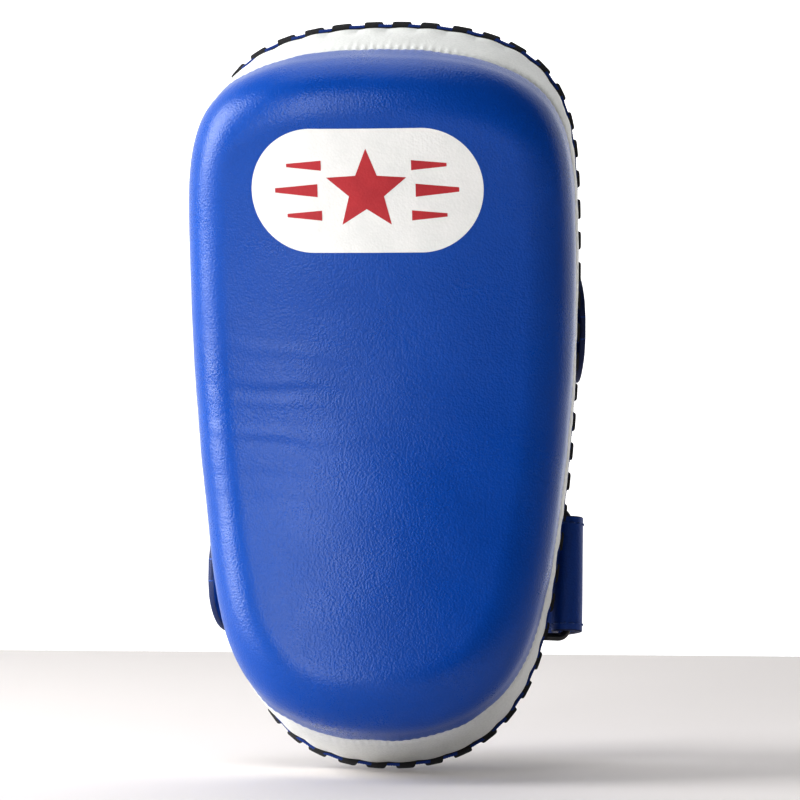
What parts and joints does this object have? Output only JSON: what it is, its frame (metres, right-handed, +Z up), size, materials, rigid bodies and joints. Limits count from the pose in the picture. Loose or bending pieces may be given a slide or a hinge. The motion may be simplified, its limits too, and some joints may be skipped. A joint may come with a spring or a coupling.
{
  "type": "curved forearm strike pad",
  "caption": "Curved leather strike pad with a padded face, laced back edge, two hook-and-loop forearm straps through metal rings, and a swinging roll handle.",
  "frame": {"origin": "centre of the bounding box in X and Y, at the lowest point of the laced back edge", "axes": "+Z up along the length of the pad, the striking face looks to -Y and the straps are behind it to +Y, +X is on the right when looking at the striking face"},
  "size_m": [0.1976, 0.1846, 0.3846],
  "materials": {
    "blue_leather": "satin",
    "white_leather": "satin",
    "black_leather": "satin",
    "blue_binding": "matte",
    "black_lace": "satin",
    "foam": "matte",
    "cushion_leather": "satin",
    "strap_leather": "satin",
    "loop_tape": "matte",
    "hook_tape": "matte",
    "ring_steel": "satin",
    "rivet_steel": "satin",
    "core_wood": "matte",
    "handle_leather": "satin",
    "tab_leather": "satin"
  },
  "bodies": {
    "pad": {"front_cover": "blue_leather", "side_gusset": "white_leather", "back_panel": "black_leather", "edge_binding": "blue_binding", "edge_lace": "black_lace", "strike_foam": "foam", "core_foam": "foam", "backer_foam": "foam", "cushion_foam": "foam", "cushion_cover": "cushion_leather", "upper_strap_span": "strap_leather", "lower_strap_span": "strap_leather", "upper_anchor_patch": "black_leather", "upper_keeper_patch": "black_leather", "upper_ring_keeper": "black_leather", "lower_anchor_patch": "black_leather", "lower_keeper_patch": "black_leather", "lower_ring_keeper": "black_leather", "upper_loop_patch": "loop_tape", "lower_loop_patch": "loop_tape", "anchor_rivets": "rivet_steel", "keeper_rivets": "rivet_steel", "handle_pivot_rivets": "rivet_steel", "handle_patch_rivets": "rivet_steel", "handle_ear_left": "tab_leather", "handle_ear_right": "tab_leather", "handle_patch_left": "tab_leather", "handle_patch_right": "tab_leather"},
    "upper_tongue": {"upper_strap_tongue": "strap_leather", "upper_hook_patch": "hook_tape"},
    "lower_tongue": {"lower_strap_tongue": "strap_leather", "lower_hook_patch": "hook_tape"},
    "upper_ring": {"upper_ring": "ring_steel"},
    "lower_ring": {"lower_ring": "ring_steel"},
    "handle": {"handle_core": "core_wood", "handle_padding": "foam", "handle_cover": "handle_leather", "handle_tab_left": "tab_leather", "handle_tab_right": "tab_leather"}
  },
  "joints": [
    {"name": "upper_strap_peel", "type": "hinge", "parent": "pad", "child": "upper_tongue", "pos_m": [-0.08607, 0.05742, 0.2292], "axis": [0, -0.0592, 0.9982], "range_deg": [0, 100]},
    {"name": "lower_strap_peel", "type": "hinge", "parent": "pad", "child": "lower_tongue", "pos_m": [0.08607, 0.0509, 0.09526], "axis": [0, -0.1559, -0.9878], "range_deg": [0, 100]},
    {"name": "upper_ring_pivot", "type": "hinge", "parent": "pad", "child": "upper_ring", "pos_m": [-0.07, 0.02704, 0.2274], "axis": [0, -0.0592, 0.9982], "range_deg": [-8, 8]},
    {"name": "lower_ring_pivot", "type": "hinge", "parent": "pad", "child": "lower_ring", "pos_m": [0.07, 0.02084, 0.1], "axis": [0, 0.1559, 0.9878], "range_deg": [-8, 8]},
    {"name": "handle_swing", "type": "hinge", "parent": "pad", "child": "handle", "pos_m": [0, 0.02541, 0.31374], "axis": [1, 0, 0], "range_deg": [-20, 20]}
  ]
}
